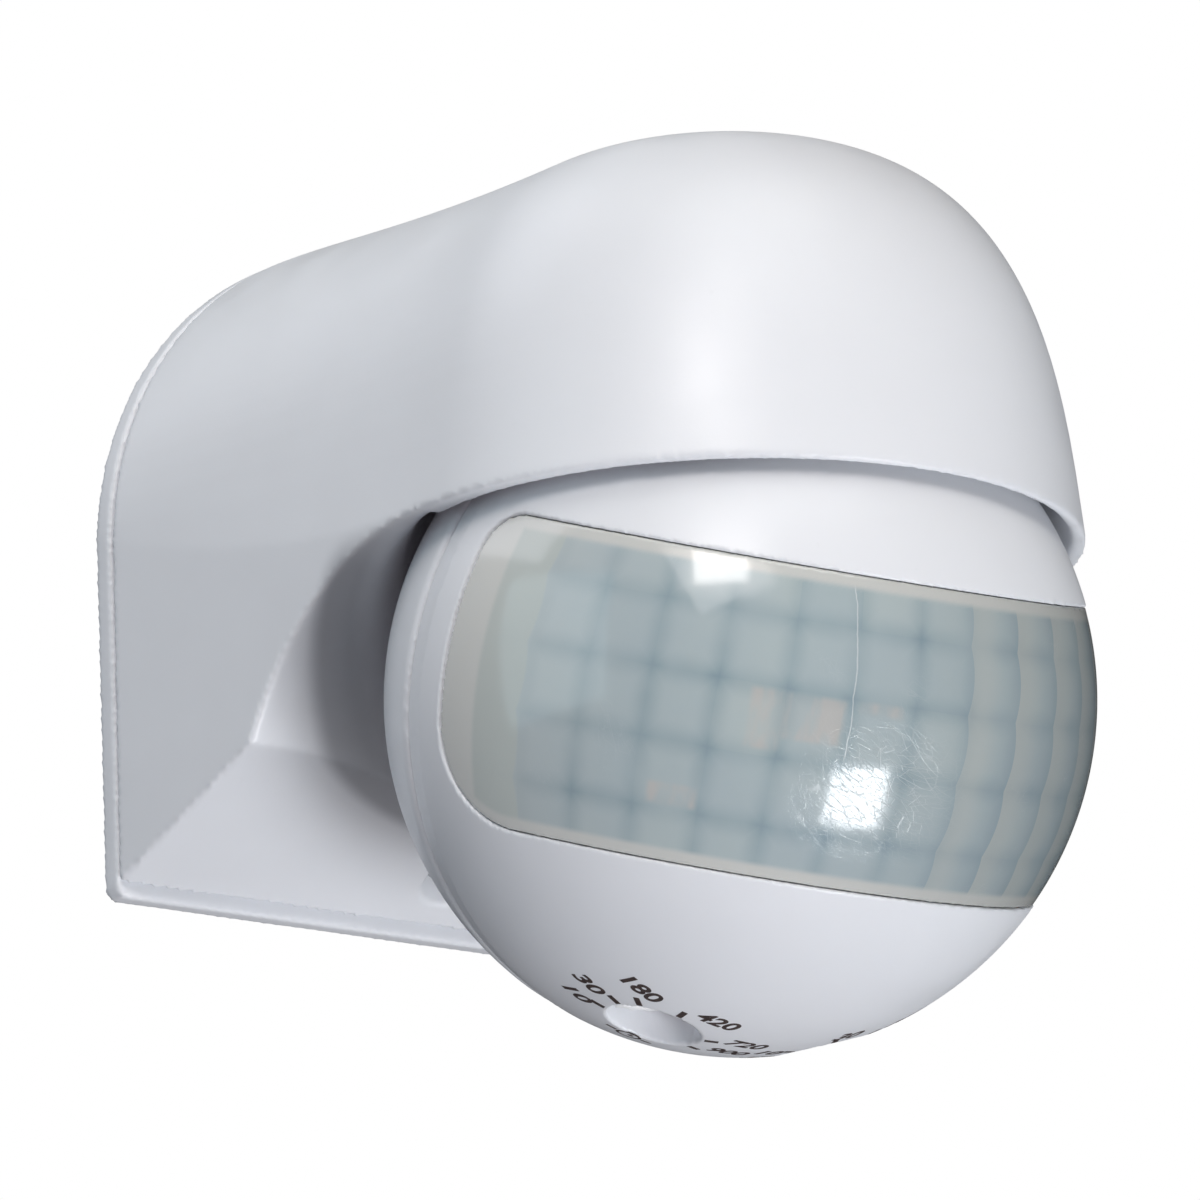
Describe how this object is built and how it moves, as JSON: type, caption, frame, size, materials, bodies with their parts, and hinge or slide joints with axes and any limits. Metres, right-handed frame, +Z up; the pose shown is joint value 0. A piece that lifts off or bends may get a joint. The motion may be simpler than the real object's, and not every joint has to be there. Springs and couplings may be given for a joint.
{
  "type": "motion sensor",
  "caption": "Wall-mounted passive infrared motion sensor: a domed hood on an arched back plate over a ball head with a wide cell lens that pans and tilts.",
  "frame": {"origin": "centre of the back plate's arch, on the face that lies against the wall", "axes": "+Y into the wall, +Z up, +X to the right seen from the front"},
  "size_m": [0.076, 0.0921, 0.0951],
  "materials": {
    "case": "fine satin grain, cool white",
    "head_case": "smooth satin, cool white",
    "knob": "smooth moulded white",
    "lens": "milky translucent polythene lens with a moulded cell grid",
    "inner_plastic": "natural moulded plastic",
    "seal": "soft black rubber",
    "lead": "black sheathed lead",
    "steel": "bright zinc-plated steel",
    "brass": "plain brass",
    "board": "green solder resist",
    "black_plastic": "black moulded body",
    "amber_part": "amber coated ceramic",
    "red_part": "clear red resin",
    "brown_part": "brown dipped resin",
    "blue_part": "blue moulded body"
  },
  "bodies": {
    "base": {"wall_plate": "case", "hood": "case", "cover_seal": "seal", "cable_grommet": "seal", "cover_screw": "steel", "terminal_block": "inner_plastic", "terminal_screw_live": "brass", "terminal_screw_neutral": "brass", "terminal_screw_load": "brass", "friction_washer": "seal", "hood_lead": "lead"},
    "bracket": {"swivel_stem": "inner_plastic", "swivel_nut": "inner_plastic"},
    "head": {"front_shell": "head_case", "rear_shell": "head_case", "fresnel_lens": "lens", "shell_screw_upper_left": "steel", "shell_screw_upper_right": "steel", "shell_screw_lower_left": "steel", "shell_screw_lower_right": "steel", "tilt_pin": "steel", "tilt_nut": "steel", "tilt_washer_left": "steel", "tilt_washer_right": "steel", "lens_retainer": "inner_plastic", "head_seal": "seal", "sensor_board": "board", "pir_sensor": "steel", "pir_filter": "black_plastic", "light_sensor": "amber_part", "indicator_led": "red_part", "motion_chip": "black_plastic", "board_link": "black_plastic", "power_board": "board", "relay": "blue_part", "film_capacitor": "brown_part", "electrolytic_capacitor": "black_plastic", "lead_connector": "inner_plastic", "time_potentiometer": "blue_part", "lux_potentiometer": "blue_part"},
    "time_dial": {"time_knob": "knob"},
    "lux_dial": {"lux_knob": "knob"}
  },
  "joints": [
    {"name": "head_pan", "type": "hinge", "parent": "base", "child": "bracket", "pos_m": [0, -0.0573, -0.023], "axis": [0, 0, 1], "range_deg": [-76, 84]},
    {"name": "head_tilt", "type": "hinge", "parent": "bracket", "child": "head", "pos_m": [0, -0.0573, -0.023], "axis": [0.9976, -0.0698, 0], "range_deg": [-20, 20]},
    {"name": "time_dial_turn", "type": "hinge", "parent": "head", "child": "time_dial", "pos_m": [-0.00976, -0.05496, -0.05456], "axis": [0.0037, 0.0522, -0.9986], "range_deg": [-135, 135]},
    {"name": "lux_dial_turn", "type": "hinge", "parent": "head", "child": "lux_dial", "pos_m": [0.00999, -0.05634, -0.05456], "axis": [0.0037, 0.0522, -0.9986], "range_deg": [-135, 135]}
  ]
}
